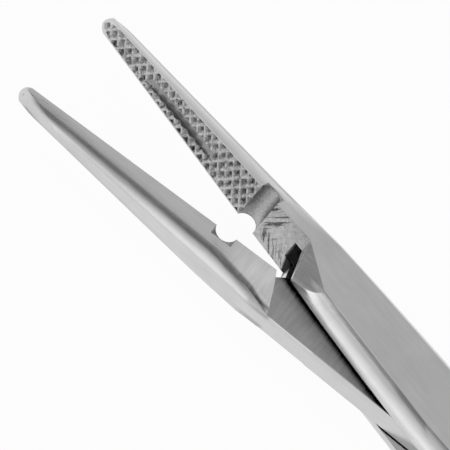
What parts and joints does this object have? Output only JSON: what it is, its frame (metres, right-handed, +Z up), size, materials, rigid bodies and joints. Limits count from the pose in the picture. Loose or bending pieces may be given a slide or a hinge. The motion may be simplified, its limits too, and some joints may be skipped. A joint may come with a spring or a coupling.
{
  "type": "surgical needle holder",
  "caption": "Straight ring-handled needle holder: cross-serrated tapering jaws, box lock with a flush pivot pin, slender shanks, ratchet arms and oval finger rings.",
  "frame": {"origin": "on the pivot axis, at the flat lower face of the lock on which the instrument rests", "axes": "+X from the pivot to the jaw tips, midway between the jaws; +Y to the jaw of the tenon half; +Z up along the pivot axis"},
  "size_m": [0.1794, 0.0916, 0.0052],
  "materials": {
    "satin_steel": "satin, fine lengthwise brushing",
    "pin_steel": "ground flush with the lock and brushed"
  },
  "bodies": {
    "box_body": {"box_half": "satin_steel", "pivot_pin": "pin_steel"},
    "tenon_body": {"tenon_half": "satin_steel"}
  },
  "joints": [
    {"name": "lock_pivot", "type": "hinge", "parent": "box_body", "child": "tenon_body", "pos_m": [0, 0, 0.0026], "axis": [0, 0, 1], "range_deg": [-16.1, 24]}
  ]
}
